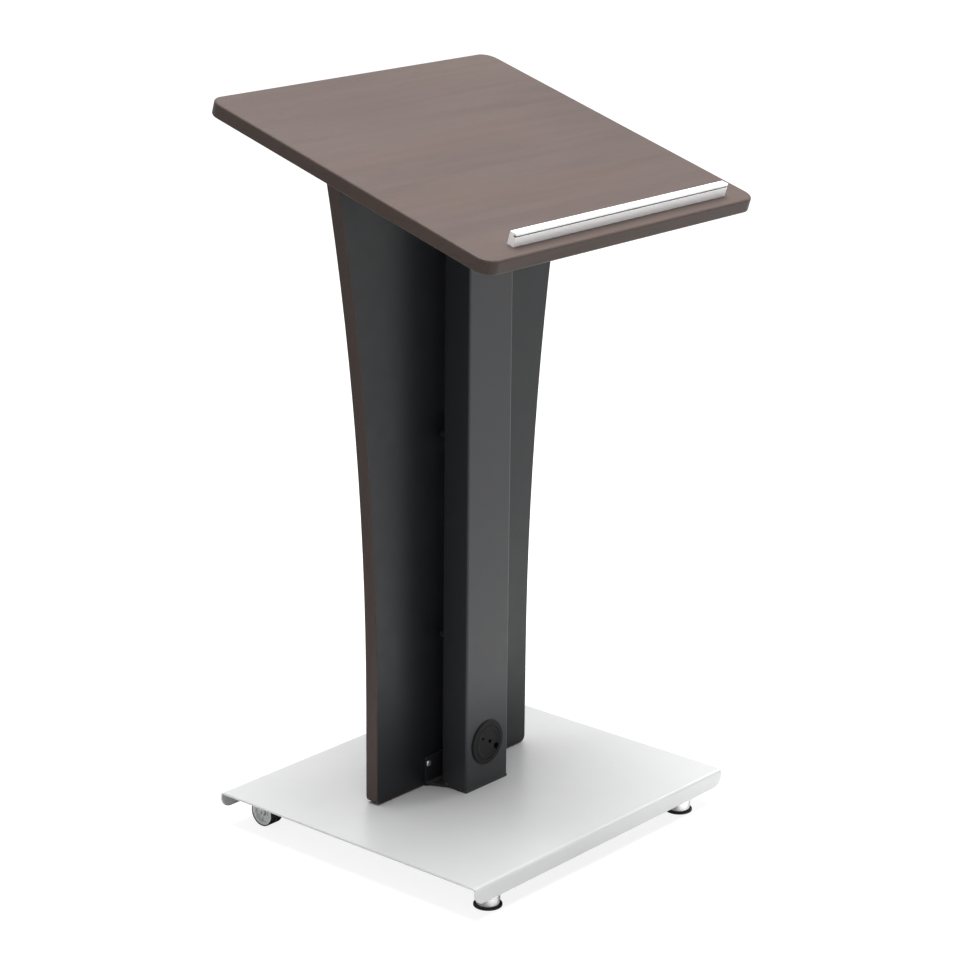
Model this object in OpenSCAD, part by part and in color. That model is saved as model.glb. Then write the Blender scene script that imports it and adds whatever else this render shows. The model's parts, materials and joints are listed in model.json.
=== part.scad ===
// Presentation lectern: a sloped reading top on a folded steel column, with a flared front panel,
// a sheet-steel base, two rolling wheels at the audience side and two levelling feet at the speaker's side.
// +Z is up, +Y points from the speaker to the audience and +X to the speaker's right.
// The origin is on the floor, in the middle of the overall footprint.

/* [Reading top] */
// Width of the reading top
top_w = 610; // [560:10:700]
// Length of the reading top along its slope
top_d = 554; // [520:2:600]
// Thickness of the reading top
top_t = 22; // [20:1:30]
// Slope of the reading top, in degrees
top_tilt = 16.7; // [12:0.1:20]
// Height of the top's lower front edge line above the floor
top_front_z = 974.5; // [940:0.5:1000]
// Radius of the top's corners, seen from above
top_corner_r = 24; // [10:1:40]
// Thickness of the edge band, which is also its rounding
band_t = 3; // [1:0.5:4]
// How far the top's front edge stands out past the base
top_overhang = 20.5; // [0:0.5:30]

/* [Base] */
// Width of the base plate
base_w = 592; // [560:2:700]
// Depth of the base plate
base_d = 520; // [500:2:600]
// Height of the base plate's upper face above the floor
base_z = 57.5; // [55:0.5:60]
// Thickness of the base plate's steel sheet
sheet_t = 3; // [2:0.5:4]
// Height of the flanges folded down at the front and the rear
flange_h = 27; // [20:1:30]
// Radius of the flanges' lower corners
flange_corner_r = 18; // [4:1:18]

/* [Column] */
// Width of the column
column_w = 97; // [90:1:110]
// Depth of the column
column_d = 50; // [46:1:60]
// Distance from the base's front edge to the column's front face
column_setback = 234; // [220:1:250]
// Gap between the column and the front panel, for cables
column_gap = 20; // [12:0.5:24]

/* [Front panel] */
// Width of the front panel's straight lower part
panel_w = 350; // [320:2:400]
// Thickness of the front panel
panel_t = 22; // [20:1:30]
// Height above the floor at which the panel starts to flare out
flare_z = 220; // [200:10:400]
// Radius of the flared sides
flare_r = 4240; // [3600:20:5000]

/* [Paper stop] */
// Length of the paper stop
stop_l = 481; // [400:1:500]
// Height of the paper stop above the reading top
stop_h = 20; // [16:1:30]
// Width of the paper stop's foot along the slope
stop_d = 12; // [10:1:20]
// Distance of the stop from the top's front edge
stop_inset = 23; // [8:1:30]
// Sideways offset of the stop from the centre line
stop_shift = 11; // [0:1:20]

/* [Cable grommet] */
// Radius of the hole in the column
grommet_r = 30; // [25:1:32]
// Radius of the grommet's flange
grommet_flange_r = 36; // [34:1:38]
// Height of the grommet's centre above the floor
grommet_z = 129.5; // [120:0.5:200]

/* [Wheels and feet] */
// Radius of the wheels
wheel_r = 22; // [22:0.5:25]
// Width of the wheels
wheel_w = 25; // [20:1:28]
// Distance of the wheel's outer face from the base's side
wheel_inset_x = 43; // [20:1:60]
// Distance of the wheel's axle from the base's rear edge
wheel_inset_y = 45; // [30:1:60]
// Radius of the rubber foot pads
pad_r = 21.5; // [20:0.5:24]
// Distance of the feet from the base's sides
foot_inset_x = 66; // [40:1:80]
// Distance of the feet from the base's front edge
foot_inset_y = 33; // [28:1:60]

/* [Hidden] */
$fn = 64;

wood = "#6b5850";
edge = "#574842";
backer = "#3a3c3e";
silver = "#d9dadb";
charcoal = "#55575a";
black = "#1c1c1d";
zinc = "#c3c5c7";
light_grey = "#cfd0d0";
bronze = "#b79a5b";

eps = 0.01;
clear = 0.05;               // running clearance on a radius
big = 1200;                 // larger than the lectern, for cutting planes

// overall footprint, centred on the origin
overall_d = base_d + top_overhang;
base_front_y = top_overhang - overall_d / 2;
top_nose = band_t * (cos(top_tilt) + sin(top_tilt) - 1);    // taken off by the rounded front edge
top_front_y = -overall_d / 2 - top_nose;
base_rear_y = overall_d / 2;
base_under_z = base_z - sheet_t;
bend_r = 2 * sheet_t;       // outer radius of the folded edges

// column and front panel
wall_t = 2;
column_corner_r = 3;
lip_w = 28;                 // width of the two lips beside the column's rear slot
column_front_y = base_front_y + column_setback;
column_rear_y = column_front_y + column_d;
panel_near_y = column_rear_y + column_gap;
panel_far_y = panel_near_y + panel_t;
foot_plate_t = 4;
column_z = base_z + foot_plate_t;
panel_z = base_z + 1.5;
panel_corner_r = 10;
backer_t = 1;
panel_band_t = 2;
panel_side = panel_w / 2;

// hardware
m5_r = 2.5;
m6_r = 3;
m8_r = 4;
m8_across = 13;
m8_head_h = 5.3;
m8_nut_h = 6.5;
m10_r = 5;
bolt_xs = [-32, 32];
bolt_ys = [column_front_y + 14, column_front_y + 38];
spacer_x = column_w / 2 - 22;
spacer_zs = [300, 620, 930];
spacer_r = 7;
insert_r = 5;
insert_l = 13;
ear_x = 45;
ear_w = 44;
ear_overhang = 4;           // how far each ear stands out past the plate it is folded from
ear_top_z = base_z + 47;
ear_t = 3;
ear_corner_r = 5;
ear_fold_r = 4;             // inside radius of the fold between plate and ear
ear_screw_x = 61;
ear_screw_z = base_z + 36;

// bracket under the reading top, in the top's own frame
bracket_w = 260;
bracket_t = 3;
bracket_front = 130;        // distance of its front edge from the top's front edge, along the slope
bracket_l = 190;
bracket_fold = 15;
cheek_t = 3;
cheek_drop = 30;            // how far the cheeks reach below the top's front edge line
top_screw_xs = [-115, 0, 115];
top_screw_ys = [bracket_front + 22, bracket_front + 95];
angle_x = 165;
angle_w = 44;
angle_l = 32;
angle_t = 2.5;
angle_screw_r = 2;
angle_screw_l = 17;
angle_screw_dx = 13;        // half the spacing of the screws on each angle
angle_screw_edge = 9;       // distance of the screws from the angle's free edges
stop_screw_xs = [for (i = [-1:1]) stop_shift + i * 190];

// grommet
liner_l = 18;
liner_bore_r = grommet_r - 2.5;
flange_t = 2.5;
cap_t = 3;
cable_slot_w = 9;
cable_slot_r = 22;          // distance of the slot's round end from the cap's middle
cable_slot_turn = 30;       // how far the slot points below the horizontal at rest

// wheels and feet
wheel_x = base_w / 2 - wheel_inset_x - wheel_w / 2;
wheel_y = base_rear_y - wheel_inset_y;
tyre_t = 1.5;
hub_r = wheel_r - tyre_t;
bush_r = 6;
axle_r = m8_r - clear;
hub_half = wheel_w / 2 - 1;
boss_z = wheel_w / 2 - 4;   // outer faces of the hub's boss and web, from the wheel's middle
web_z = boss_z - 3;
leg_t = 3;
leg_x = -wheel_w / 2 - 0.7;  // outer face of the bracket's leg, from the wheel's middle
bracket_top = base_under_z - wheel_r;
bracket_half_w = 20;
bracket_reach = 36;         // how far the bracket's upper flat reaches inwards from the wheel
stud_x = leg_x - 22;
stud_ys = [-12, 12];
stud_l = 12;
m5_nut_h = 4.7;
m6_nut_h = 6;
foot_x = base_w / 2 - foot_inset_x;
foot_y = base_front_y + foot_inset_y;
cup_r = 18;
cup_z = 2.1;
cup_top_z = 34;
cup_wall = 2;
weld_nut_l = 16;
weld_nut_r = 12;
stud_flange_r = 9;
stud_flange_t = 4;
stud_gap = 2.5;             // room above the stud's tip for raising the foot
pad_t = 3.6;

// ---------- shared shapes ----------

// places children in the reading top's frame: y runs up the slope from the front edge, z is square to it
module at_top() {
    translate([0, top_front_y, top_front_z]) rotate([top_tilt, 0, 0]) children();
}

// everything lower than a plane parallel to the reading top, drop below its upper face
module below_top(drop) {
    at_top() translate([-big / 2, -big / 2, -2 * big - drop]) cube([big, 2 * big, 2 * big]);
}

// rectangle with round corners, centred on x and starting at y = 0
module round_rect(w, d, r) {
    translate([-w / 2, r]) square([w, d - 2 * r]);
    translate([-w / 2 + r, 0]) square([w - 2 * r, d]);
    for (x = [-1, 1], y = [r, d - r]) translate([x * (w / 2 - r), y]) circle(r = r);
}

// rectangle whose two upper corners are round, centred on x
module round_top_rect(w, h, r) {
    translate([-w / 2, 0]) square([w, h - r]);
    translate([-w / 2 + r, 0]) square([w - 2 * r, h]);
    for (x = [-1, 1]) translate([x * (w / 2 - r), h - r]) circle(r = r);
}

// corner left over outside a round of radius r
module corner_cut(r) {
    difference() {
        square([r + eps, r + eps]);
        circle(r = r);
    }
}

module at_signs(x, y = 0, z = 0) {
    for (s = [-1, 1]) translate([s * x, y, z]) children();
}

// button-head screw along +z, with its head below z = 0 and a hexagon socket
module screw(r, l, head_r, head_h) {
    difference() {
        rotate_extrude() polygon([
            [0, -head_h], [head_r * 0.62, -head_h], [head_r * 0.9, -head_h * 0.72],
            [head_r, -head_h * 0.3], [head_r, 0], [r, 0], [r, l - r * 0.5], [r * 0.6, l], [0, l]
        ]);
        translate([0, 0, -head_h - eps]) cylinder(r = head_r * 0.4, h = head_h * 0.6, $fn = 6);
    }
}

// hexagon nut along +z with a plain bore
module hex_nut(r, across, h) {
    difference() {
        cylinder(r = across / sqrt(3), h = h, $fn = 6);
        translate([0, 0, -1]) cylinder(r = r, h = h + 2);
    }
}

module ring(r_in, r_out, h) {
    difference() {
        cylinder(r = r_out, h = h);
        translate([0, 0, -1]) cylinder(r = r_in, h = h + 2);
    }
}

// ---------- base ----------

module base_section() {
    translate([(base_front_y + base_rear_y) / 2, base_z - flange_h]) difference() {
        round_top_rect(base_d, flange_h, bend_r);
        translate([0, -1]) round_top_rect(base_d - 2 * sheet_t, flange_h + 1 - sheet_t, bend_r - sheet_t);
    }
}

module flange_corner_cuts() {
    for (y = [base_front_y - 1, base_rear_y - sheet_t - 1], s = [0, 1])
        mirror([s, 0, 0])
            translate([base_w / 2 - flange_corner_r, y + sheet_t + 2, base_z - flange_h + flange_corner_r])
                rotate([90, 0, 0]) linear_extrude(sheet_t + 2) mirror([0, 1]) corner_cut(flange_corner_r);
}

module base_plate() {
    color(silver) difference() {
        rotate([90, 0, 90]) translate([0, 0, -base_w / 2]) linear_extrude(base_w) base_section();
        flange_corner_cuts();
        for (x = bolt_xs, y = bolt_ys)
            translate([x, y, base_under_z - 1]) cylinder(r = m8_r + 0.5, h = sheet_t + 2);
    }
}

// outline of the plate under the column, which widens towards the front panel
module foot_plate_outline() {
    half = column_w / 2;
    wing = ear_x + ear_w / 2 - ear_overhang;
    wing_y = column_rear_y - 15;
    polygon([
        [-half, column_front_y], [half, column_front_y], [half, wing_y],
        [wing, panel_near_y - ear_t], [wing, panel_near_y],
        [-wing, panel_near_y], [-wing, panel_near_y - ear_t], [-half, wing_y]
    ]);
}

module foot_plate() {
    color(black) difference() {
        union() {
            translate([0, 0, base_z]) linear_extrude(foot_plate_t) foot_plate_outline();
            for (s = [-1, 1])
                translate([s * ear_x, panel_near_y, base_z]) rotate([90, 0, 0])
                    linear_extrude(ear_t) round_top_rect(ear_w, ear_top_z - base_z, ear_corner_r);
            // inside radius of the fold between plate and ears
            for (s = [-1, 1]) translate([s * ear_x - ear_w / 2, panel_near_y - ear_t, column_z])
                rotate([90, 0, 90]) linear_extrude(ear_w) difference() {
                    translate([-ear_fold_r, -eps]) square(ear_fold_r + eps);
                    translate([-ear_fold_r, ear_fold_r]) circle(r = ear_fold_r);
                }
        }
        for (x = bolt_xs, y = bolt_ys)
            translate([x, y, base_z - 1]) cylinder(r = m8_r + clear, h = foot_plate_t + 2);
        at_signs(ear_screw_x, panel_near_y + 1, ear_screw_z)
            rotate([90, 0, 0]) cylinder(r = m5_r + 0.3, h = ear_t + 2);
    }
}

module column_bolts() {
    color(zinc) for (x = bolt_xs, y = bolt_ys) translate([x, y, base_under_z]) {
        translate([0, 0, -m8_head_h]) cylinder(r = m8_across / sqrt(3), h = m8_head_h, $fn = 6);
        cylinder(r = m8_r, h = sheet_t + foot_plate_t + 8);
    }
}

module column_weld_nuts() {
    color(zinc) for (x = bolt_xs, y = bolt_ys)
        translate([x, y, column_z]) hex_nut(m8_r + clear, m8_across, m8_nut_h);
}

module foot_plate_screws() {
    color(zinc) at_signs(ear_screw_x, panel_near_y - ear_t, ear_screw_z)
        rotate([-90, 0, 0]) screw(m5_r, 20, 5, 3);
}

// ---------- column ----------

module column_section() {
    translate([0, column_front_y]) difference() {
        round_rect(column_w, column_d, column_corner_r);
        translate([0, wall_t])
            round_rect(column_w - 2 * wall_t, column_d - 2 * wall_t, column_corner_r - wall_t);
        translate([-column_w / 2 + lip_w, column_d / 2]) square([column_w - 2 * lip_w, column_d]);
    }
}

module column() {
    color(charcoal) difference() {
        intersection() {
            translate([0, 0, column_z]) linear_extrude(big) column_section();
            below_top(top_t + bracket_t);
        }
        translate([0, column_front_y - 1, grommet_z]) rotate([-90, 0, 0]) cylinder(r = grommet_r, h = 10);
        for (z = spacer_zs) at_signs(spacer_x, column_rear_y - 5, z)
            rotate([-90, 0, 0]) cylinder(r = m6_r + 0.3, h = 10);
    }
}

// plate screwed under the reading top, with two cheeks welded inside the column
module top_bracket() {
    cheek_gap = 3;
    cheek_y = column_front_y + wall_t + cheek_gap;
    color(black) {
        difference() {
            union() {
                at_top() {
                    translate([-bracket_w / 2, bracket_front, -top_t - bracket_t])
                        cube([bracket_w, bracket_l, bracket_t]);
                    translate([-bracket_w / 2, bracket_front, -top_t - bracket_fold])
                        cube([bracket_w, bracket_t, bracket_fold]);
                }
                intersection() {
                    for (s = [0, 1]) mirror([s, 0, 0])
                        translate([column_w / 2 - wall_t - cheek_t, cheek_y, top_front_z - cheek_drop])
                            cube([cheek_t, column_d - 2 * (wall_t + cheek_gap), big]);
                    below_top(top_t + eps);
                }
            }
            at_top() for (x = top_screw_xs, y = top_screw_ys)
                translate([x, y, -top_t - 5]) cylinder(r = m5_r + 0.3, h = 10);
        }
    }
}

// ---------- reading top ----------

module band_section() {
    intersection() {
        square([band_t, top_t]);
        union() {
            translate([0, band_t]) square([band_t, top_t - 2 * band_t]);
            for (y = [band_t, top_t - band_t]) translate([0, y]) circle(r = band_t);
        }
    }
}

// edge band: four straight runs and four quarter turns of one section
module top_edge_band() {
    run_x = top_w - 2 * top_corner_r;
    run_y = top_d - 2 * top_corner_r;
    color(edge) at_top() translate([0, top_d / 2, -top_t]) union() {
        for (a = [0, 180]) rotate([0, 0, a]) {
            translate([top_w / 2 - band_t, run_y / 2, 0]) rotate([90, 0, 0])
                linear_extrude(run_y) band_section();
            translate([run_x / 2, -top_d / 2 + band_t, 0]) rotate([90, 0, -90])
                linear_extrude(run_x) band_section();
        }
        for (sx = [-1, 1], sy = [-1, 1])
            translate([sx * run_x / 2, sy * run_y / 2, 0])
                rotate([0, 0, sx > 0 ? (sy > 0 ? 0 : 270) : (sy > 0 ? 90 : 180)])
                    rotate_extrude(angle = 90) translate([top_corner_r - band_t, 0]) band_section();
    }
}

module top_board() {
    color(wood) difference() {
        at_top() translate([0, band_t, -top_t]) linear_extrude(top_t)
            round_rect(top_w - 2 * band_t, top_d - 2 * band_t, top_corner_r - band_t);
        at_top() {
            for (x = top_screw_xs, y = top_screw_ys)
                translate([x, y, -top_t - 1]) cylinder(r = m5_r + clear, h = 18);
            for (x = stop_screw_xs)
                translate([x, stop_inset + stop_d / 2, -top_t - 1]) cylinder(r = m5_r + 0.3, h = top_t + 2);
        }
        angle_screw_places() translate([0, 0, -1]) cylinder(r = angle_screw_r + clear, h = angle_screw_l + 1);
    }
}

module top_screws() {
    color(zinc) at_top() for (x = top_screw_xs, y = top_screw_ys)
        translate([x, y, -top_t - bracket_t]) screw(m5_r, 18, 5, 3);
}

module paper_stop() {
    groove_w = 1.6;
    groove_depth = 4;
    color(silver) difference() {
        at_top() translate([stop_shift - stop_l / 2, stop_inset, 0]) rotate([90, 0, 90]) linear_extrude(stop_l)
            difference() {
                translate([stop_d / 2, 0]) round_top_rect(stop_d, stop_h, 1);
                translate([-1, stop_h * 0.74]) square([groove_depth + 1, groove_w]);
            }
        at_top() for (x = stop_screw_xs)
            translate([x, stop_inset + stop_d / 2, -1]) cylinder(r = m5_r + clear, h = 12);
    }
}

module stop_screws() {
    color(zinc) at_top() for (x = stop_screw_xs)
        translate([x, stop_inset + stop_d / 2, -top_t]) screw(m5_r, top_t + 10, 5, 3);
}

// ---------- front panel ----------

// the panel seen from the front, drawn in x and z, with its sides and foot moved in by inset
module panel_outline(inset = 0) {
    r = panel_corner_r;
    difference() {
        translate([-big / 2, panel_z + inset]) square([big, big]);
        for (s = [0, 1]) mirror([s, 0]) {
            translate([panel_side - inset, 0]) square([big, flare_z]);
            translate([panel_side + flare_r, flare_z]) circle(r = flare_r + inset, $fn = 1440);
            translate([panel_side - r, panel_z + r]) mirror([0, 1]) corner_cut(r - inset);
        }
    }
}

// a layer of the panel from y0 to y1, cut off square under the reading top
module panel_layer(y0, y1) {
    intersection() {
        translate([0, y1, 0]) rotate([90, 0, 0]) linear_extrude(y1 - y0) children();
        below_top(top_t);
        translate([-top_w / 2, y0 - 1, 0]) cube([top_w, y1 - y0 + 2, big]);
    }
}

module panel_holes(depth) {
    at_signs(ear_screw_x, panel_near_y - 1, ear_screw_z)
        rotate([-90, 0, 0]) cylinder(r = m5_r + clear, h = depth + 1);
    for (z = spacer_zs) at_signs(spacer_x, panel_near_y - 1, z)
        rotate([-90, 0, 0]) cylinder(r = insert_r, h = depth + 1);
    panel_angle_screw_places() translate([0, 0, -1]) cylinder(r = angle_screw_r + clear, h = depth + 1);
}

module panel_board() {
    color(wood) difference() {
        panel_layer(panel_near_y + backer_t, panel_far_y) panel_outline(panel_band_t);
        panel_holes(18);
    }
}

module panel_back_laminate() {
    color(backer) difference() {
        panel_layer(panel_near_y, panel_near_y + backer_t) panel_outline(panel_band_t);
        panel_holes(18);
    }
}

module panel_edge_band() {
    color(edge) panel_layer(panel_near_y, panel_far_y) difference() {
        panel_outline();
        panel_outline(panel_band_t);
    }
}

module panel_spacers() {
    color(black) for (z = spacer_zs) at_signs(spacer_x, column_rear_y, z)
        rotate([-90, 0, 0]) ring(m6_r + 0.3, spacer_r, column_gap);
}

module panel_bolts() {
    color(zinc) for (z = spacer_zs) at_signs(spacer_x, column_rear_y - wall_t, z)
        rotate([-90, 0, 0]) screw(m6_r, wall_t + column_gap + 10, 5.5, 3.3);
}

module panel_inserts() {
    color(zinc) for (z = spacer_zs) at_signs(spacer_x, panel_near_y, z)
        rotate([-90, 0, 0]) ring(m6_r + clear, insert_r, insert_l);
}

// slope distance at which the near face of the panel meets the underside of the top
angle_y = (panel_near_y - top_front_y - top_t * sin(top_tilt)) / cos(top_tilt);
angle_z = top_front_z + angle_y * sin(top_tilt) - top_t * cos(top_tilt);

// two folded angles between the panel and the underside of the top
module panel_angles() {
    color(black) difference() {
        for (s = [-1, 1]) translate([s * angle_x - angle_w / 2, 0, 0]) {
            intersection() {
                union() {
                    translate([0, panel_near_y - angle_t, angle_z - angle_l])
                        cube([angle_w, angle_t, angle_l + 10]);
                    at_top() translate([0, angle_y - angle_l, -top_t - angle_t])
                        cube([angle_w, angle_l + 10, angle_t]);
                }
                below_top(top_t);
                translate([-1, panel_near_y - big, 0]) cube([angle_w + 2, big, big * 2]);
            }
        }
        angle_screw_places() angle_screw_hole();
        panel_angle_screw_places() angle_screw_hole();
    }
}

module angle_screw_hole() {
    translate([0, 0, -5]) cylinder(r = angle_screw_r + 0.3, h = 10);
}

// screw positions on the angles' sloped legs: z points up into the reading top
module angle_screw_places() {
    for (s = [-1, 1], dx = [-angle_screw_dx, angle_screw_dx])
        at_top() translate([s * angle_x + dx, angle_y - angle_l + angle_screw_edge, -top_t]) children();
}

// screw positions on the angles' upright legs: z points into the panel
module panel_angle_screw_places() {
    for (s = [-1, 1], dx = [-angle_screw_dx, angle_screw_dx])
        translate([s * angle_x + dx, panel_near_y, angle_z - angle_l + angle_screw_edge])
            rotate([-90, 0, 0]) children();
}

module angle_screws() {
    color(zinc) {
        angle_screw_places() translate([0, 0, -angle_t]) screw(angle_screw_r, angle_screw_l, 4, 2.4);
        panel_angle_screw_places() translate([0, 0, -angle_t]) screw(angle_screw_r, angle_screw_l, 4, 2.4);
    }
}

// ---------- cable grommet ----------

module at_grommet() {
    translate([0, column_front_y, grommet_z]) rotate([-90, 0, 0]) children();
}

// local +z points into the column; the sleeve has a ledge that the cap sits on
module grommet_liner() {
    ledge_z = 2;
    ledge_r = liner_bore_r - 2;
    color(black) at_grommet() rotate_extrude() polygon([
        [liner_bore_r, -flange_t], [grommet_flange_r - 1.5, -flange_t], [grommet_flange_r, -1],
        [grommet_flange_r, 0], [grommet_r - clear, 0], [grommet_r - clear, liner_l - 1],
        [grommet_r - 1, liner_l], [ledge_r, liner_l], [ledge_r, ledge_z], [liner_bore_r, ledge_z]
    ]);
}

// turning cap with an open cable slot, a finger hole and a small locking hole
module grommet_cap() {
    skirt_r = liner_bore_r - 2.1;
    skirt_t = 1.5;
    face_z = 1.6 - cap_t;
    color(black) at_grommet() difference() {
        rotate_extrude() polygon([
            [0, face_z], [liner_bore_r - 7, face_z], [liner_bore_r - 5, face_z - 1],
            [liner_bore_r - 1, face_z - 1], [liner_bore_r - 0.1, face_z - 0.2],
            [liner_bore_r - 0.1, 1.9], [skirt_r, 1.9], [skirt_r, liner_l - 8],
            [skirt_r - skirt_t, liner_l - 8], [skirt_r - skirt_t, 1.2], [0, 1.2]
        ]);
        rotate([0, 0, cable_slot_turn]) {
            translate([cable_slot_r, -cable_slot_w / 2, -10]) cube([grommet_r, cable_slot_w, 40]);
            translate([cable_slot_r, 0, -10]) cylinder(r = cable_slot_w / 2, h = 40);
        }
        translate([5, 0, -10]) cylinder(r = 3, h = 20);
        translate([-11, -8, -10]) cylinder(r = 2, h = 20);
    }
}

// ---------- wheels ----------

// the wheel's own frame: local z runs along the axle and points away from the lectern
module at_wheel(side) {
    translate([side * wheel_x, wheel_y, wheel_r]) rotate([0, side * 90, 0]) children();
}

// the same place with local x outwards and z up
module at_bracket(side) {
    translate([side * wheel_x, wheel_y, wheel_r]) mirror([side < 0 ? 1 : 0, 0, 0]) children();
}

module bracket_leg_outline() {
    end_r = 11;
    shoulder = 16;
    w = bracket_half_w;
    circle(r = end_r);
    polygon([
        [-end_r + 0.1, -1], [end_r - 0.1, -1], [w, shoulder], [w, bracket_top],
        [-w, bracket_top], [-w, shoulder]
    ]);
}

module wheel_bracket() {
    top = bracket_top;
    inner = 2;
    outer = leg_t + inner;
    difference() {
        intersection() {
            rotate([90, 0, 0]) linear_extrude(2 * bracket_half_w, center = true) difference() {
                union() {
                    translate([leg_x - bracket_reach, top - leg_t]) square([bracket_reach - outer, leg_t]);
                    translate([leg_x - leg_t, -20]) square([leg_t, 20 + top - outer]);
                    translate([leg_x - outer, top - outer]) intersection() {
                        circle(r = outer);
                        square([outer, outer]);
                    }
                }
                translate([leg_x - outer, top - outer]) circle(r = inner);
            }
            rotate([90, 0, 90]) linear_extrude(4 * bracket_reach, center = true) bracket_leg_outline();
        }
        translate([leg_x - 10, 0, 0]) rotate([0, 90, 0]) cylinder(r = m6_r + clear, h = 20);
        for (y = stud_ys) translate([stud_x, y, top - 10]) cylinder(r = m5_r + 0.25, h = 20);
    }
}

module wheel_brackets() {
    color(zinc) for (s = [-1, 1]) at_bracket(s) wheel_bracket();
}

module bracket_studs() {
    color(zinc) for (s = [-1, 1], y = stud_ys) at_bracket(s)
        translate([stud_x, y, bracket_top - stud_l]) cylinder(r = m5_r, h = stud_l);
}

module bracket_nuts() {
    color(zinc) for (s = [-1, 1], y = stud_ys) at_bracket(s)
        translate([stud_x, y, bracket_top - leg_t - m5_nut_h]) hex_nut(m5_r + clear, 8, m5_nut_h);
}

module wheel_axles() {
    tip_z = leg_x - leg_t - m6_nut_h - 1;
    head_z = boss_z + 0.3;
    head_h = 3.1;
    head_r = 5.2;
    color(zinc) for (s = [-1, 1]) at_wheel(s) difference() {
        rotate_extrude() polygon([
            [0, tip_z], [m6_r, tip_z], [m6_r, leg_x], [axle_r, leg_x], [axle_r, head_z], [head_r, head_z],
            [head_r, head_z + head_h - 0.8], [head_r - 0.8, head_z + head_h], [0, head_z + head_h]
        ]);
        translate([0, 0, head_z + head_h - 2]) cylinder(r = 2.3, h = 5, $fn = 6);
    }
}

module axle_nuts() {
    color(zinc) for (s = [-1, 1]) at_wheel(s)
        translate([0, 0, leg_x - leg_t - m6_nut_h]) hex_nut(m6_r + clear, 10, m6_nut_h);
}

module wheel_hub(side) {
    half = hub_half;
    boss_r = bush_r + 2;
    rim_r = hub_r - 4;
    color(light_grey) at_wheel(side) rotate_extrude() polygon([
        [bush_r, -half], [boss_r, -half], [boss_r, -4], [rim_r - 1, -4], [rim_r, -half], [hub_r, -half],
        [hub_r, half], [rim_r, half], [rim_r - 1, web_z], [boss_r, web_z], [boss_r, boss_z], [bush_r, boss_z]
    ]);
}

module wheel_bush(side) {
    color(bronze) at_wheel(side) translate([0, 0, -wheel_w / 2]) ring(m8_r, bush_r, wheel_w / 2 + boss_z);
}

module wheel_tyre(side) {
    half = wheel_w / 2;
    color(black) at_wheel(side) rotate_extrude() polygon([
        [hub_r, -half], [wheel_r - 1, -half], [wheel_r, -half + 1.5],
        [wheel_r, half - 1.5], [wheel_r - 1, half], [hub_r, half]
    ]);
}

// ---------- levelling feet ----------

module at_foot(side) {
    translate([side * foot_x, foot_y, 0]) children();
}

module foot_weld_nuts() {
    color(zinc) for (s = [-1, 1]) at_foot(s)
        translate([0, 0, base_under_z - weld_nut_l]) ring(m10_r, weld_nut_r, weld_nut_l);
}

module foot_pad(side) {
    color(black) at_foot(side) rotate_extrude() polygon([
        [0, 0], [pad_r - 1, 0], [pad_r, 1], [pad_r, pad_t - 1], [pad_r - 1, pad_t],
        [cup_r + 0.4, pad_t], [cup_r + 0.4, cup_z - 0.1], [0, cup_z - 0.1]
    ]);
}

module foot_cup(side) {
    color(zinc) at_foot(side) rotate_extrude() polygon([
        [cup_r - cup_wall, cup_z], [cup_r, cup_z], [cup_r, cup_top_z - 2], [cup_r - 2, cup_top_z],
        [m10_r, cup_top_z], [m10_r, cup_top_z - cup_wall], [cup_r - cup_wall, cup_top_z - cup_wall]
    ]);
}

// threaded stud with a flange under the cup's crown
module foot_stud(side) {
    tip = base_under_z - stud_gap;
    flange_z = cup_top_z - cup_wall;
    color(zinc) at_foot(side) rotate_extrude() polygon([
        [0, flange_z - stud_flange_t], [stud_flange_r, flange_z - stud_flange_t],
        [stud_flange_r, flange_z], [m10_r - clear, flange_z],
        [m10_r - clear, tip - 1], [m10_r - 1, tip], [0, tip]
    ]);
}

base_plate();
foot_plate();
column_bolts();
column_weld_nuts();
column();
top_bracket();
top_board();
top_edge_band();
top_screws();
paper_stop();
stop_screws();
panel_board();
panel_back_laminate();
panel_edge_band();
panel_spacers();
panel_bolts();
panel_inserts();
panel_angles();
angle_screws();
foot_plate_screws();
grommet_liner();
grommet_cap();
wheel_brackets();
bracket_studs();
bracket_nuts();
wheel_axles();
axle_nuts();
wheel_hub(-1);  // wheel_left_hub
wheel_bush(-1);  // wheel_left_bush
wheel_tyre(-1);  // wheel_left_tyre
wheel_hub(1);  // wheel_right_hub
wheel_bush(1);  // wheel_right_bush
wheel_tyre(1);  // wheel_right_tyre
foot_weld_nuts();
foot_pad(-1);  // foot_left_pad
foot_cup(-1);  // foot_left_cup
foot_stud(-1);  // foot_left_stud
foot_pad(1);  // foot_right_pad
foot_cup(1);  // foot_right_cup
foot_stud(1);  // foot_right_stud
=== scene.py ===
"""Presentation lectern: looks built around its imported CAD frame. Lengths are in metres."""

import json
import math

import bmesh
import bpy
from mathutils import Matrix, Vector


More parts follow.
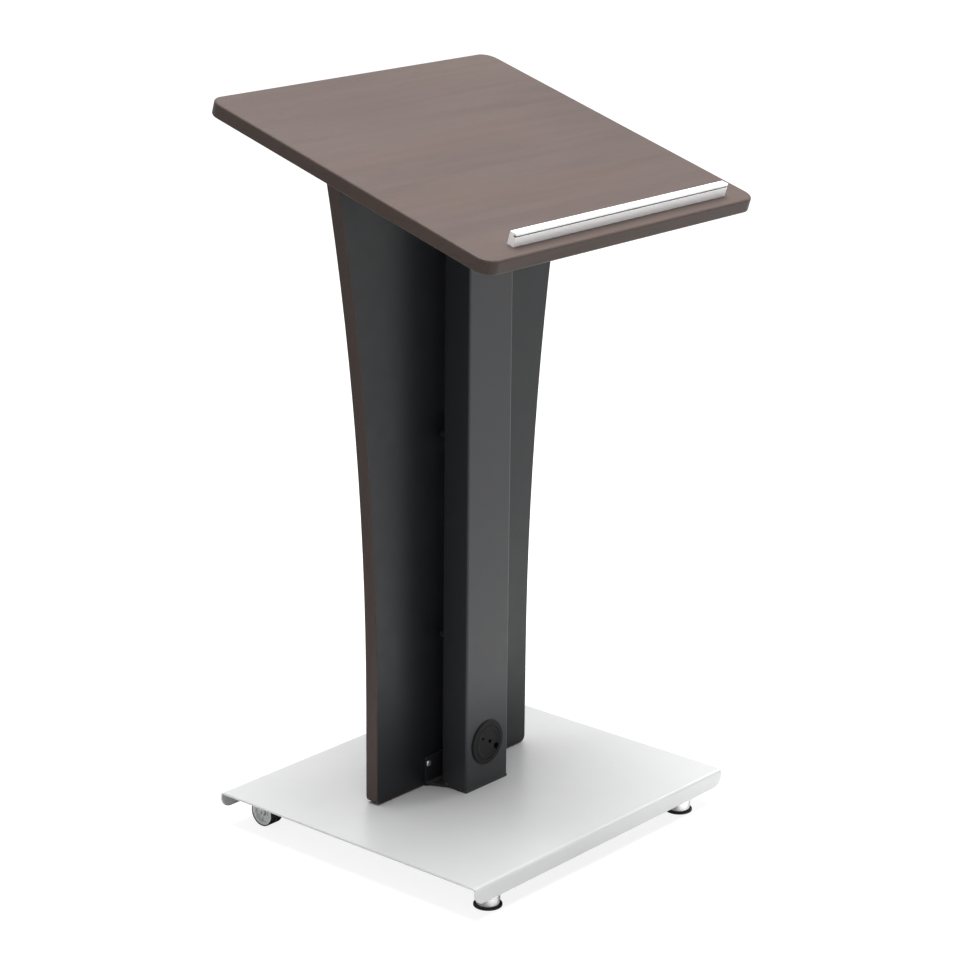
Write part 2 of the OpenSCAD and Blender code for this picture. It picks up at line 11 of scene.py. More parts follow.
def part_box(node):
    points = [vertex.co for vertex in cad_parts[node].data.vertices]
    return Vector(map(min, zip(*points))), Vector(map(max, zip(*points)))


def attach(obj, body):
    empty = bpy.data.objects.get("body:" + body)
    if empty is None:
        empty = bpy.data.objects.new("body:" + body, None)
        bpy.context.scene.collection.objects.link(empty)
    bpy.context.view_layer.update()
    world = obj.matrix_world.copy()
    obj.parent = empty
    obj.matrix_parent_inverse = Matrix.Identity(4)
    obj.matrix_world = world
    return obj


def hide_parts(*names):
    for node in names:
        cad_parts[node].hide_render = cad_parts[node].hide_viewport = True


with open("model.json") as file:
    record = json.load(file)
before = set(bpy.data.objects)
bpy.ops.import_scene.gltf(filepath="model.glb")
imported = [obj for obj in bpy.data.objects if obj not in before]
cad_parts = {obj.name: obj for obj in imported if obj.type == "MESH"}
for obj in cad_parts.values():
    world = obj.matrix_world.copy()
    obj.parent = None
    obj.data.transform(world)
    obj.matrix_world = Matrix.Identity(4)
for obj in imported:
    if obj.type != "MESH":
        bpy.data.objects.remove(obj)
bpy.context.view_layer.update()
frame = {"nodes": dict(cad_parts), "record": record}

MM = 0.001
SMOOTH_ANGLE = math.radians(32)  # sharper edges are bevelled and stay sharp in shading
FLAT_ANGLE = math.radians(0.4)  # flatter edges are dissolved
WELD_DISTANCE = 0.002 * MM
BEVEL = dict(segments=2, profile=0.6, affect="EDGES")
WHITE = (1.0, 1.0, 1.0, 1.0)
NODES = frame["nodes"]
BODY_OF = {
    node: body
    for body, members in frame["record"]["behaviour"]["bodies"].items()
    for node in members
}


# ---------- material graphs ----------


class Graph:
    """Builds one material: a Principled shader, and small helpers for the nodes that feed it."""

    def __init__(self, name):
        self.material = bpy.data.materials.new(name)
        self.material.use_nodes = True
        self.tree = self.material.node_tree
        self.tree.nodes.clear()
        self.shader = self.add("ShaderNodeBsdfPrincipled")
        output = self.add("ShaderNodeOutputMaterial")
        self.tree.links.new(self.shader.outputs["BSDF"], output.inputs["Surface"])
        self.place = self.add("ShaderNodeTexCoord").outputs["Object"]

    def add(self, kind, **settings):
        node = self.tree.nodes.new(kind)
        for key, value in settings.items():
            setattr(node, key, value)
        return node

    def feed(self, socket, value):
        if isinstance(value, bpy.types.NodeSocket):
            self.tree.links.new(value, socket)
        else:
            socket.default_value = value

    def surface(self, **values):
        """Sets or links the shader's own sockets, such as surface(Roughness=0.4)."""
        for key, value in values.items():
            self.feed(self.shader.inputs[key.replace("_", " ")], value)

    def stretched(self, scale, turn=(0, 0, 0)):
        """Object coordinates scaled along each axis after a turn."""
        node = self.add("ShaderNodeMapping")
        self.feed(node.inputs["Vector"], self.place)
        node.inputs["Rotation"].default_value = turn
        node.inputs["Scale"].default_value = scale
        return node.outputs["Vector"]

    def noise(self, scale, stretch=(1, 1, 1), detail=3.0, roughness=0.5, distortion=0.0):
        """Noise from 0 to 1 with about scale features a metre."""
        node = self.add("ShaderNodeTexNoise")
        self.feed(node.inputs["Vector"], self.stretched(stretch))
        node.inputs["Scale"].default_value = scale
        node.inputs["Detail"].default_value = detail
        node.inputs["Roughness"].default_value = roughness
        node.inputs["Distortion"].default_value = distortion
        return node.outputs["Fac"]

    def cells(self, scale):
        """A random value for each cell of a Voronoi pattern."""
        node = self.add("ShaderNodeTexVoronoi")
        self.feed(node.inputs["Vector"], self.stretched((1, 1, 1)))
        node.inputs["Scale"].default_value = scale
        return node.outputs["Color"]

    def span(self, value, low, high, out_low=0.0, out_high=1.0):
        """Maps low..high to out_low..out_high, clamped."""
        node = self.add("ShaderNodeMapRange")
        self.feed(node.inputs["Value"], value)
        node.inputs["From Min"].default_value = low
        node.inputs["From Max"].default_value = high
        node.inputs["To Min"].default_value = out_low
        node.inputs["To Max"].default_value = out_high
        return node.outputs["Result"]

    def math(self, operation, a, b):
        node = self.add("ShaderNodeMath", operation=operation)
        self.feed(node.inputs[0], a)
        self.feed(node.inputs[1], b)
        return node.outputs["Value"]

    def mix(self, factor, a, b, mode="MIX"):
        """Mixes two colours, each a socket or three numbers."""
        node = self.add("ShaderNodeMix", data_type="RGBA", blend_type=mode)
        self.feed(node.inputs["Factor"], factor)
        for socket, value in ((node.inputs["A"], a), (node.inputs["B"], b)):
            self.feed(socket, (*value, 1.0) if isinstance(value, tuple) else value)
        return node.outputs["Result"]

    def worn(self, patch_scale=90.0):
        """Broken patches along the bevelled edges, from the mesh's wear attribute."""
        edge = self.add("ShaderNodeAttribute", attribute_name="wear").outputs["Fac"]
        patches = self.span(self.noise(patch_scale, detail=5.0, roughness=0.7), 0.45, 0.62)
        return self.math("MULTIPLY", edge, patches)

    def bump(self, height, depth, after=None):
        """Bump whose height input of 1 stands depth metres proud."""
        node = self.add("ShaderNodeBump")
        node.inputs["Strength"].default_value = 1.0
        node.inputs["Distance"].default_value = depth
        self.feed(node.inputs["Height"], height)
        if after is not None:
            self.feed(node.inputs["Normal"], after)
        return node.outputs["Normal"]


def scaled(colour, factor):
    return tuple(channel * factor for channel in colour)


# ---------- materials ----------


def wood(name, light, dark, red, along, specular=0.22):
    """Satin wood-grain laminate: soft patches, streaks, fine fibres and short pores along an axis."""
    g = Graph(name)

    def lengthwise(ratio):
        return tuple(ratio if axis == along else 1.0 for axis in range(3))

    patches = g.noise(4.2, lengthwise(0.34), detail=2.0, distortion=0.5)
    warm = g.noise(6.5, lengthwise(0.2), detail=2.0, distortion=0.3)
    figure = g.noise(34.0, lengthwise(0.06), detail=4.0, roughness=0.55, distortion=0.8)
    fibres = g.noise(620.0, lengthwise(0.02), detail=3.0, roughness=0.6)
    pores = g.noise(1150.0, lengthwise(0.035), detail=1.0)
    colour = g.mix(g.span(patches, 0.3, 0.7), dark, light)
    colour = g.mix(g.span(warm, 0.5, 0.72, 0.0, 0.75), colour, red)
    colour = g.mix(g.span(figure, 0.5, 0.68, 0.0, 0.34), colour, scaled(dark, 0.8))
    colour = g.mix(g.span(fibres, 0.35, 0.75, 0.0, 0.3), colour, scaled(light, 1.12))
    pore_mask = g.span(pores, 0.63, 0.7)
    colour = g.mix(g.math("MULTIPLY", pore_mask, 0.45), colour, scaled(dark, 0.5))
    colour = g.mix(g.math("MULTIPLY", g.worn(), 0.5), colour, scaled(light, 1.35))
    roughness = g.span(g.math("ADD", fibres, g.span(figure, 0.3, 0.7, 0.0, 0.6)), 0.4, 1.2, 0.4, 0.5)
    relief = g.bump(g.span(pores, 0.6, 0.72, 1.0, 0.0), 0.03 * MM)
    relief = g.bump(fibres, 0.012 * MM, relief)
    g.surface(Base_Color=colour, Roughness=roughness, Normal=relief)
    g.surface(Specular_IOR_Level=specular)
    return g.material


def powder_coat(name, colour, worn_colour, roughness, metallic=0.0, fleck=0.0, specular=0.5):
    """Baked powder coat: orange peel, fine grain, soft clouding and lighter worn edges."""
    g = Graph(name)
    clouds = g.noise(5.0, detail=3.0)
    grain = g.noise(3600.0, detail=1.0)
    tone = g.mix(g.span(clouds, 0.3, 0.7), scaled(colour, 0.95), scaled(colour, 1.04))
    tone = g.mix(g.span(grain, 0.35, 0.7, 0.0, 0.35 + fleck), tone, scaled(colour, 1.16 + fleck))
    tone = g.mix(g.math("MULTIPLY", g.worn(140.0), 0.6), tone, worn_colour)
    wander = 0.035
    rough = g.noise(60.0, detail=4.0, roughness=0.6)
    rough = g.span(rough, 0.3, 0.7, roughness - wander, roughness + wander)
    relief = g.bump(g.noise(520.0, detail=2.0), 0.02 * MM)
    relief = g.bump(grain, 0.004 * MM, relief)
    g.surface(Base_Color=tone, Roughness=rough, Normal=relief, Metallic=metallic)
    g.surface(Specular_IOR_Level=specular)
    return g.material


def dark_laminate(name):
    """Matte pearl-textured backing laminate."""
    g = Graph(name)
    base = (0.0108, 0.0118, 0.0136)
    pearl = g.noise(1900.0, detail=2.0)
    clouds = g.noise(7.0, detail=3.0)
    tone = g.mix(g.span(clouds, 0.3, 0.7), scaled(base, 0.92), scaled(base, 1.08))
    tone = g.mix(g.span(pearl, 0.4, 0.7, 0.0, 0.4), tone, scaled(base, 1.25))
    tone = g.mix(g.math("MULTIPLY", g.worn(), 0.5), tone, (0.09, 0.085, 0.08))
    rough = g.span(g.noise(40.0, detail=4.0), 0.3, 0.7, 0.33, 0.4)
    g.surface(Base_Color=tone, Roughness=rough, Normal=g.bump(pearl, 0.01 * MM))
    g.surface(Specular_IOR_Level=0.27)
    return g.material


def anodised(name):
    """Clear anodised extrusion with die lines and a light brush along X."""
    g = Graph(name)
    lines = g.noise(2600.0, (0.006, 1, 1), detail=3.0, roughness=0.7)
    clouds = g.noise(30.0, (0.15, 1, 1), detail=3.0)
    base = (0.96, 0.962, 0.965)
    tone = g.mix(g.span(lines, 0.3, 0.7), scaled(base, 0.97), base)
    tone = g.mix(g.math("MULTIPLY", g.worn(200.0), 0.4), tone, scaled(base, 0.85))
    rough = g.math("ADD", g.span(lines, 0.3, 0.7, 0.3, 0.38), g.span(clouds, 0.3, 0.7, -0.02, 0.03))
    g.surface(Base_Color=tone, Roughness=rough, Metallic=0.2, Normal=g.bump(lines, 0.004 * MM))
    return g.material


def moulded(name, colour, roughness, specular=0.5):
    """Injection-moulded plastic with a spark-eroded texture and rubbed edges."""
    g = Graph(name)
    spark = g.noise(2800.0, detail=2.0, roughness=0.6)
    clouds = g.noise(25.0, detail=3.0)
    tone = g.mix(g.span(clouds, 0.3, 0.7), scaled(colour, 0.94), scaled(colour, 1.05))
    tone = g.mix(g.math("MULTIPLY", g.worn(220.0), 0.5), tone, scaled(colour, 1.5))
    rough = g.span(spark, 0.3, 0.7, roughness - 0.05, roughness + 0.05)
    g.surface(Base_Color=tone, Roughness=rough, Normal=g.bump(spark, 0.012 * MM))
    g.surface(Specular_IOR_Level=specular)
    return g.material


def rubber(name, colour, dust):
    """Black rubber with a dull skin and a trace of dust in random patches."""
    g = Graph(name)
    skin = g.noise(1400.0, detail=4.0, roughness=0.65)
    dusty = g.span(g.noise(120.0, detail=5.0, roughness=0.7), 0.52, 0.75, 0.0, dust)
    tone = g.mix(dusty, colour, (0.16, 0.15, 0.14))
    tone = g.mix(g.math("MULTIPLY", g.worn(300.0), 0.4), tone, (0.07, 0.07, 0.07))
    rough = g.span(skin, 0.3, 0.7, 0.62, 0.78)
    g.surface(Base_Color=tone, Roughness=rough, Normal=g.bump(skin, 0.02 * MM))
    return g.material


def plated(name, colour, tint, roughness):
    """Plated steel: faint crystal spangle, fine polishing scratches and tinted clouds."""
    g = Graph(name)
    spangle = g.add("ShaderNodeSeparateColor")
    g.feed(spangle.inputs["Color"], g.cells(700.0))
    scratches = g.noise(1500.0, (1, 1, 0.05), detail=3.0, roughness=0.7)
    clouds = g.noise(45.0, detail=3.0)
    tone = g.mix(g.span(clouds, 0.4, 0.7, 0.0, 0.5), colour, tint)
    tone = g.mix(g.span(spangle.outputs["Red"], 0.0, 1.0, 0.0, 0.16), tone, scaled(colour, 0.75))
    tone = g.mix(g.math("MULTIPLY", g.worn(400.0), 0.4), tone, scaled(colour, 1.08))
    rough = g.math(
        "ADD",
        g.span(scratches, 0.3, 0.7, roughness - 0.04, roughness + 0.06),
        g.span(spangle.outputs["Green"], 0.0, 1.0, -0.03, 0.03),
    )
    g.surface(Base_Color=tone, Roughness=rough, Metallic=1.0, Normal=g.bump(scratches, 0.003 * MM))
    return g.material


def sintered_bronze(name):
    """Oil-filled sintered bronze with dark pores."""
    g = Graph(name)
    pores = g.span(g.noise(2400.0, detail=2.0), 0.56, 0.66)
    tone = g.mix(pores, (0.48, 0.35, 0.17), (0.14, 0.09, 0.04))
    rough = g.span(pores, 0.0, 1.0, 0.34, 0.6)
    relief = g.bump(g.span(pores, 0.0, 1.0, 1.0, 0.0), 0.02 * MM)
    g.surface(Base_Color=tone, Roughness=rough, Metallic=1.0, Normal=relief)
    return g.material


def make_materials():
    """Every finish by the name of its slot in the record."""
    grain_x, grain_y, grain_z = 0, 1, 2
    top = dict(
        light=(0.0655, 0.0462, 0.0402), dark=(0.0525, 0.0378, 0.0337),
        red=(0.0655, 0.0408, 0.0325),
    )
    edging = dict(
        light=(0.062, 0.0455, 0.04), dark=(0.05, 0.0375, 0.0335),
        red=(0.065, 0.042, 0.033), specular=0.12,
    )
    return {
        "wood_laminate": wood("wood_top", along=grain_x, **top),
        "wood_laminate_upright": wood("wood_panel", along=grain_z, **top),
        "wood_edging": wood("wood_edge", along=grain_x, **edging),
        "wood_edging_sides": wood("wood_edge_sides", along=grain_y, **edging),
        "wood_edging_upright": wood("wood_panel_edge", along=grain_z, **edging),
        "dark_laminate": dark_laminate("dark_laminate"),
        "silver_coat": powder_coat(
            "silver_coat", (0.47, 0.472, 0.476), (0.66, 0.66, 0.665), 0.33, metallic=0.1, fleck=0.06
        ),
        "charcoal_coat": powder_coat(
            "charcoal_coat", (0.0205, 0.0218, 0.0242), (0.09, 0.09, 0.095), 0.36, specular=0.36
        ),
        "black_coat": powder_coat("black_coat", (0.016, 0.016, 0.017), (0.07, 0.07, 0.07), 0.45),
        "anodised": anodised("anodised"),
        "black_plastic": moulded("black_plastic", (0.006, 0.006, 0.0065), 0.5, specular=0.16),
        "grey_plastic": moulded("grey_plastic", (0.8, 0.81, 0.81), 0.4),
        "bronze": sintered_bronze("bronze"),
        "tyre_rubber": rubber("tyre_rubber", (0.02, 0.02, 0.021), 0.25),
        "pad_rubber": rubber("pad_rubber", (0.016, 0.016, 0.018), 0.15),
        "plated_cup": plated("nickel", (0.86, 0.85, 0.84), (0.82, 0.82, 0.83), 0.2),
        "zinc_steel": plated("zinc", (0.62, 0.63, 0.65), (0.6, 0.6, 0.55), 0.32),
    }


MATERIALS = make_materials()


# ---------- mesh helpers ----------


def finish_piece(name, bm, nodes, finish, upright=False, others=(), beside=None):
    """Turns a bmesh into a shaded piece that stands for CAD nodes, or only rides beside one."""
    bmesh.ops.recalc_face_normals(bm, faces=bm.faces)
    mesh = bpy.data.meshes.new(name)
    bm.to_mesh(mesh)
    bm.free()
    mesh.materials.append(MATERIALS[finish + "_upright" if upright else finish])
    for other in others:
        mesh.materials.append(MATERIALS[other])
    mesh.shade_smooth()
    mesh.set_sharp_from_angle(angle=SMOOTH_ANGLE)
    piece = bpy.data.objects.new(name, mesh)
    bpy.context.scene.collection.objects.link(piece)
    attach(piece, BODY_OF[beside or nodes[0]])
    if nodes:
        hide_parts(*nodes)
    shading = piece.modifiers.new("shading", "WEIGHTED_NORMAL")
    shading.keep_sharp = True


def bevel_sharp(bm, width):
    """Rounds every sharp edge and marks the new faces in the wear attribute."""
    wear = bm.faces.layers.float.get("wear") or bm.faces.layers.float.new("wear")
    edges = [e for e in bm.edges if len(e.link_faces) == 2 and e.calc_face_angle() > SMOOTH_ANGLE]
    made = bmesh.ops.bevel(
        bm, geom=edges, offset=width, clamp_overlap=False, offset_type="OFFSET", **BEVEL
    )
    for face in made["faces"]:
        face[wear] = 1.0


def node_mesh(node):
    """A welded copy of a CAD node's mesh, with its flat faces joined."""
    bm = bmesh.new()
    bm.from_mesh(NODES[node].data)
    bmesh.ops.remove_doubles(bm, verts=bm.verts, dist=WELD_DISTANCE)
    bmesh.ops.dissolve_limit(
        bm, angle_limit=FLAT_ANGLE, verts=bm.verts, edges=bm.edges, use_dissolve_boundaries=False
    )
    return bm


def refine(node, finish, width, upright):
    """A CAD node's own shape with real, rounded edges."""
    bm = node_mesh(node)
    bevel_sharp(bm, width)
    finish_piece(node + "_piece", bm, [node], finish, upright)


# ---------- studio ----------

# lit areas of the floor: direction, where each begins and is full, where it fades and ends, level
POOLS = (
    ((0.6, -0.8, 0), (0.2, 0.6), (30.0, 50.0), 0.88),
    ((0, -1, 0), (0.22, 0.3), (0.4, 0.75), 1.0),
    ((-1, 0, 0), (0.28, 0.36), (0.5, 0.8), 0.8),
)


def make_camera():
    """Long lens from the front left, looking slightly down."""
    azimuth, elevation, roll = (math.radians(a) for a in (-49.36, 17.17, 0.56))
    place, lens, sensor = (-3.0683, -2.63485, 1.7954), 104.85, 36.0
    back = Vector((
        math.sin(azimuth) * math.cos(elevation),
        -math.cos(azimuth) * math.cos(elevation),
        math.sin(elevation),
    ))
    level_right = Vector((0, 0, 1)).cross(back).normalized()
    level_up = back.cross(level_right)
    right = level_right * math.cos(roll) + level_up * math.sin(roll)
    up = level_up * math.cos(roll) - level_right * math.sin(roll)
    data = bpy.data.cameras.new("front_left_camera")
    data.sensor_width = sensor
    data.lens = lens
    camera = bpy.data.objects.new("front_left_camera", data)
    bpy.context.scene.collection.objects.link(camera)
    turn = Matrix((right, up, back)).transposed().to_4x4()
    camera.matrix_world = Matrix.Translation(place) @ turn
    bpy.context.scene.camera = camera


def flat_ground(name, height, **finish):
    """A wide level plane of one plain material, and that material's graph."""
    bm = bmesh.new()
    bmesh.ops.create_grid(bm, x_segments=1, y_segments=1, size=60.0)
    bmesh.ops.translate(bm, verts=bm.verts, vec=(0, 0, height))
    mesh = bpy.data.meshes.new(name)
    bm.to_mesh(mesh)
    bm.free()
    g = Graph(name)
    g.surface(Roughness=1.0, Specular_IOR_Level=0.0, **finish)
    mesh.materials.append(g.material)
    ground = bpy.data.objects.new(name, mesh)
    bpy.context.scene.collection.objects.link(ground)
    return ground, g


def make_floor():
    """The pale floor that shows, with faint shadows, and under it one hidden from the camera that
    bounces light and glows in painted pools of light.
    """
    shown, _ = flat_ground(
        "studio_floor", 0.0,
        Base_Color=(0.22, 0.22, 0.22, 1), Emission_Color=WHITE, Emission_Strength=0.86,
    )
    shown.visible_diffuse = False
    shown.visible_glossy = False
    bounce, graph = flat_ground("bounce_floor", -0.5 * MM, Base_Color=(0.85, 0.85, 0.85, 1))
    bounce.visible_camera = False
    # painted pools of light: the bounce floor glows where lamps aimed at it would light it
    light_pools(graph)


def smooth_ramp(tree, value, span, levels):
    """A level that goes smoothly from one to the other over a span of a value."""
    node = tree.nodes.new("ShaderNodeMapRange")
    node.interpolation_type = "SMOOTHSTEP"
    tree.links.new(value, node.inputs["Value"])
    for name, number in zip(("From Min", "From Max", "To Min", "To Max"), (*span, *levels)):
        node.inputs[name].default_value = number
    return node.outputs["Result"]


def reach_along(tree, place, direction):
    """How far a place lies along a direction."""
    node = tree.nodes.new("ShaderNodeVectorMath")
    node.operation = "DOT_PRODUCT"
    tree.links.new(place, node.inputs[0])
    node.inputs[1].default_value = Vector(direction).normalized()
    return node.outputs["Value"]


def light_pools(g):
    """Brightens parts of the bounce floor, as lamps aimed at the floor there would."""
    total = 0.0
    for direction, rise, fall, level in POOLS:
        reach = reach_along(g.tree, g.place, direction)
        near = smooth_ramp(g.tree, reach, rise, (0.0, level))
        far = smooth_ramp(g.tree, reach, fall, (1.0, 0.0))
        total = g.math("ADD", total, g.math("MULTIPLY", near, far))
    g.surface(Emission_Color=WHITE, Emission_Strength=total)


def make_world():
    """Soft surroundings: pale walls behind and above, dimmer in front."""
    front_level, rear_level, toward_rear = 0.22, 0.86, (0.15, 1.0, 0.35)
    world = bpy.data.worlds.new("studio")
    bpy.context.scene.world = world
    world.use_nodes = True
    tree = world.node_tree
    background = tree.nodes["Background"]
    looking = tree.nodes.new("ShaderNodeTexCoord").outputs["Generated"]
    facing = reach_along(tree, looking, toward_rear)
    level = smooth_ramp(tree, facing, (-0.4, 0.5), (front_level, rear_level))
    background.inputs["Color"].default_value = WHITE
    tree.links.new(level, background.inputs["Strength"])


def soft_box(name, place, target, size, power):
    """A rectangular area light aimed at a point."""
    data = bpy.data.lights.new(name, "AREA")
    data.shape = "RECTANGLE"
    data.size, data.size_y = size
    data.energy = power
    light = bpy.data.objects.new(name, data)
    bpy.context.scene.collection.objects.link(light)
    aim = (Vector(target) - Vector(place)).to_track_quat("-Z", "Y")
    light.matrix_world = Matrix.Translation(place) @ aim.to_matrix().to_4x4()


def make_studio():
    """Camera, floor, surroundings and two soft lights, with plain colour management."""
    make_camera()
    make_floor()
    make_world()
    soft_box("overhead_box", (0.0, -0.3, 5.6), (0, 0, 0.5), (4.0, 4.0), 720.0)
    soft_box("side_box", (3.2, -1.0, 2.2), (0, 0, 0.3), (0.7, 0.7), 24.0)
    scene = bpy.context.scene
    scene.view_settings.view_transform = "Standard"
    scene.view_settings.look = "None"


# ---------- shapes ----------


def arc(centre, radius, start, end, steps):
    """Points of a circular arc in a plane, from start to end in degrees."""
    angles = [math.radians(start + (end - start) * i / steps) for i in range(steps + 1)]
    return [(centre[0] + radius * math.cos(a), centre[1] + radius * math.sin(a)) for a in angles]


def joined_rings(bm, rings, closed):
    """Quads between neighbouring rings of vertices, each ring closed in itself."""
    followers = rings[1:] + rings[:1] if closed else rings[1:]
    for near, far in zip(rings, followers):
        for i in range(len(near)):
            j = (i + 1) % len(near)
            bm.faces.new((near[i], near[j], far[j], far[i]))


def swept_ring(path, section):
    """A closed tube: (inward, up) points of a section carried round a closed path."""
    bm = bmesh.new()
    rings = []
    for point, inward in path:
        rings.append([bm.verts.new(point + inward * u + Vector((0, 0, z))) for u, z in section])
    joined_rings(bm, rings, closed=True)
    return bm


def rounded_rectangle(width, depth, radius, steps):
    """Points and inward directions round a rectangle with round corners, starting at y = 0."""
    path = []
    for quarter, (sx, sy) in enumerate(((1, 1), (-1, 1), (-1, -1), (1, -1))):
        centre = Vector((sx * (width / 2 - radius), depth / 2 + sy * (depth / 2 - radius), 0))
        for step in range(steps + 1):
            angle = math.radians(90 * (quarter + step / steps))
            outward = Vector((math.cos(angle), math.sin(angle), 0))
            path.append((centre + outward * radius, -outward))
    return path


def turned(profile, segments=72):
    """A lathe shape about z from (radius, height) points, with caps if it starts on the axis."""
    bm = bmesh.new()
    on_axis = profile[0][0] == 0
    outline = profile[1:-1] if on_axis else profile
    turn = [2 * math.pi * i / segments for i in range(segments)]
    rings = []
    for r, z in outline:
        rings.append([bm.verts.new((r * math.cos(t), r * math.sin(t), z)) for t in turn])
    joined_rings(bm, rings, closed=not on_axis)
    if on_axis:
        for ring, height in ((rings[0], profile[0][1]), (rings[-1], profile[-1][1])):
            tip = bm.verts.new((0, 0, height))
            for i in range(segments):
                bm.faces.new((ring[i], ring[(i + 1) % segments], tip))
    return bm


def threaded_rod(radius, pitch, length, segments=28, rows_per_turn=6):
    """A rod along z from 0 to length with a helical thread and chamfered ends."""
    depth = 0.55 * pitch
    rows = int(length / pitch * rows_per_turn)
    bm = bmesh.new()
    rings = []
    for row in range(rows + 1):
        z = length * row / rows
        end_room = min(z, length - z)
        ring = []
        for i in range(segments):
            phase = (z / pitch - i / segments) % 1.0
            cut = depth * abs(2 * phase - 1)
            chamfer = max(0.0, depth - end_room)
            r = radius - max(cut, chamfer)
            angle = 2 * math.pi * i / segments
            ring.append(bm.verts.new((r * math.cos(angle), r * math.sin(angle), z)))
        rings.append(ring)
    joined_rings(bm, rings, closed=False)
    for ring in (rings[0], rings[-1]):
        bm.faces.new(ring)
    return bm


def moved(bm, matrix):
    """The same bmesh, transformed."""
    bmesh.ops.transform(bm, matrix=matrix, verts=bm.verts)
    return bm


def merged(parts):
    """One bmesh that holds several."""
    whole = bmesh.new()
    for part in parts:
        mesh = bpy.data.meshes.new("part")
        part.to_mesh(mesh)
        part.free()
        whole.from_mesh(mesh)
        bpy.data.meshes.remove(mesh)
    return whole


def combined(base, tool, operation):
    """An exact boolean of two bmeshes, as a new bmesh."""
    objects = []
    for bm in (base, tool):
        bmesh.ops.recalc_face_normals(bm, faces=bm.faces)
        mesh = bpy.data.meshes.new("boolean_part")
        bm.to_mesh(mesh)
        bm.free()
        part = bpy.data.objects.new("boolean_part", mesh)
        bpy.context.scene.collection.objects.link(part)
        objects.append(part)
    modifier = objects[0].modifiers.new("join", "BOOLEAN")
    modifier.object = objects[1]
    modifier.operation = operation
    modifier.solver = "EXACT"
    modifier.use_self = operation == "UNION"
    evaluated = objects[0].evaluated_get(bpy.context.evaluated_depsgraph_get())
    result = bmesh.new()
    result.from_mesh(evaluated.to_mesh())
    evaluated.to_mesh_clear()
    for part in objects:
        bpy.data.meshes.remove(part.data)
    return result


def extents(points):
    """The lowest and highest corner of the box round some points."""
    points = list(points)
    return [Vector([pick(p[i] for p in points) for i in range(3)]) for pick in (min, max)]


# ---------- reading top ----------


class TopFrame:
    """The top's own frame: x across, y up the slope from its front edge, z square to its face."""

    def __init__(self):
        faces = [p for p in NODES["top_board"].data.polygons if p.normal.z > 0.9]
        up = sum((p.normal * p.area for p in faces), Vector()).normalized()
        across = Vector((1, 0, 0))
        turn = Matrix((across, up.cross(across).normalized(), up))
        low, high = extents(turn @ v.co for v in NODES["top_edge_band"].data.vertices)
        self.width, self.depth, self.thick = high - low
        self.matrix = turn.transposed().to_4x4() @ Matrix.Translation((0, low.y, high.z))


def top_edge_band(top):
    """Rounded edge band with a hairline joint to the board, its grain along each side."""
    radius, band, joint = 24 * MM, 3 * MM, 0.12 * MM
    upper = arc((band, -band), band, 180, 96, 8) + [(band - joint, 0), (band, -joint)]
    lower = [(u, -top.thick - z) for u, z in reversed(upper)]
    bm = swept_ring(rounded_rectangle(top.width, top.depth, radius, 16), upper + lower)
    bm.normal_update()
    for face in bm.faces:
        side_run = abs(face.calc_center_median().x) > top.width / 2 - radius * 0.3
        face.material_index = 1 if side_run else 0
    moved(bm, top.matrix)
    finish_piece(
        "top_edge_band_piece", bm, ["top_edge_band"], "wood_edging", others=["wood_edging_sides"]
    )


def paper_stop(top):
    """Anodised extrusion whose front groove faces, walls included, take the black plastic finish as
    painted shade in the recess.
    """
    skin, depth, floor, ceiling = 0.4 * MM, 4.5 * MM, 14.5 * MM, 16.7 * MM
    bm = node_mesh("paper_stop")
    bevel_sharp(bm, 0.25 * MM)
    to_top = top.matrix.inverted()
    front = min((to_top @ v.co).y for v in bm.verts)
    for face in bm.faces:
        centre = to_top @ face.calc_center_median()
        in_groove = skin < centre.y - front < depth and floor < centre.z < ceiling
        # faces inside the groove get the black finish: painted shade in the recess
        face.material_index = 1 if in_groove else 0
    finish_piece("paper_stop_piece", bm, ["paper_stop"], "anodised", others=["black_plastic"])


# ---------- base ----------


def base_outline(low, high, sheet, foot):
    """The (y, z) section of the folded sheet, where its flanges reach down to foot."""
    bend = 6 * MM
    axis_z = high.z - bend
    mid_z = (foot + axis_z) / 2
    skin = []
    for inset in (0.0, sheet):
        run = [(low.y + inset, foot), (low.y + inset, mid_z)]
        run += arc((low.y + bend, axis_z), bend - inset, 180, 90, 6)
        run += [(low.y + (high.y - low.y) * t, high.z - inset) for t in (0.25, 0.5, 0.75)]
        run += arc((high.y - bend, axis_z), bend - inset, 90, 0, 6)
        run += [(high.y - inset, mid_z), (high.y - inset, foot)]
        skin.append(run)
    return skin[0] + skin[1][::-1]


def base_sheet(low, high):
    """The folded sheet with round flange corners, before its holes."""
    sheet, corner, steps = 3 * MM, 18 * MM, 10
    half = high.x - (low.x + high.x) / 2
    turns = [math.radians(90 * i / steps) for i in range(steps + 1)]
    rounding = [half - corner + corner * math.sin(turn) for turn in turns]
    stations = [-x for x in reversed(rounding)] + [x * half for x in (-0.5, 0, 0.5)] + rounding
    bm = bmesh.new()
    rings = []
    for x in stations:
        past = max(0.0, abs(x) - (half - corner))
        foot = low.z + corner - math.sqrt(max(0.0, corner**2 - past**2))
        outline = base_outline(low, high, sheet, foot)
        rings.append([bm.verts.new((x, y, z)) for y, z in outline])
    joined_rings(bm, rings, closed=False)
    count = len(rings[0]) // 2
    for ring in (rings[0], rings[-1]):
        for i in range(count - 1):
            bm.faces.new((ring[i], ring[i + 1], ring[-2 - i], ring[-1 - i]))
    bmesh.ops.recalc_face_normals(bm, faces=bm.faces)
    return bm


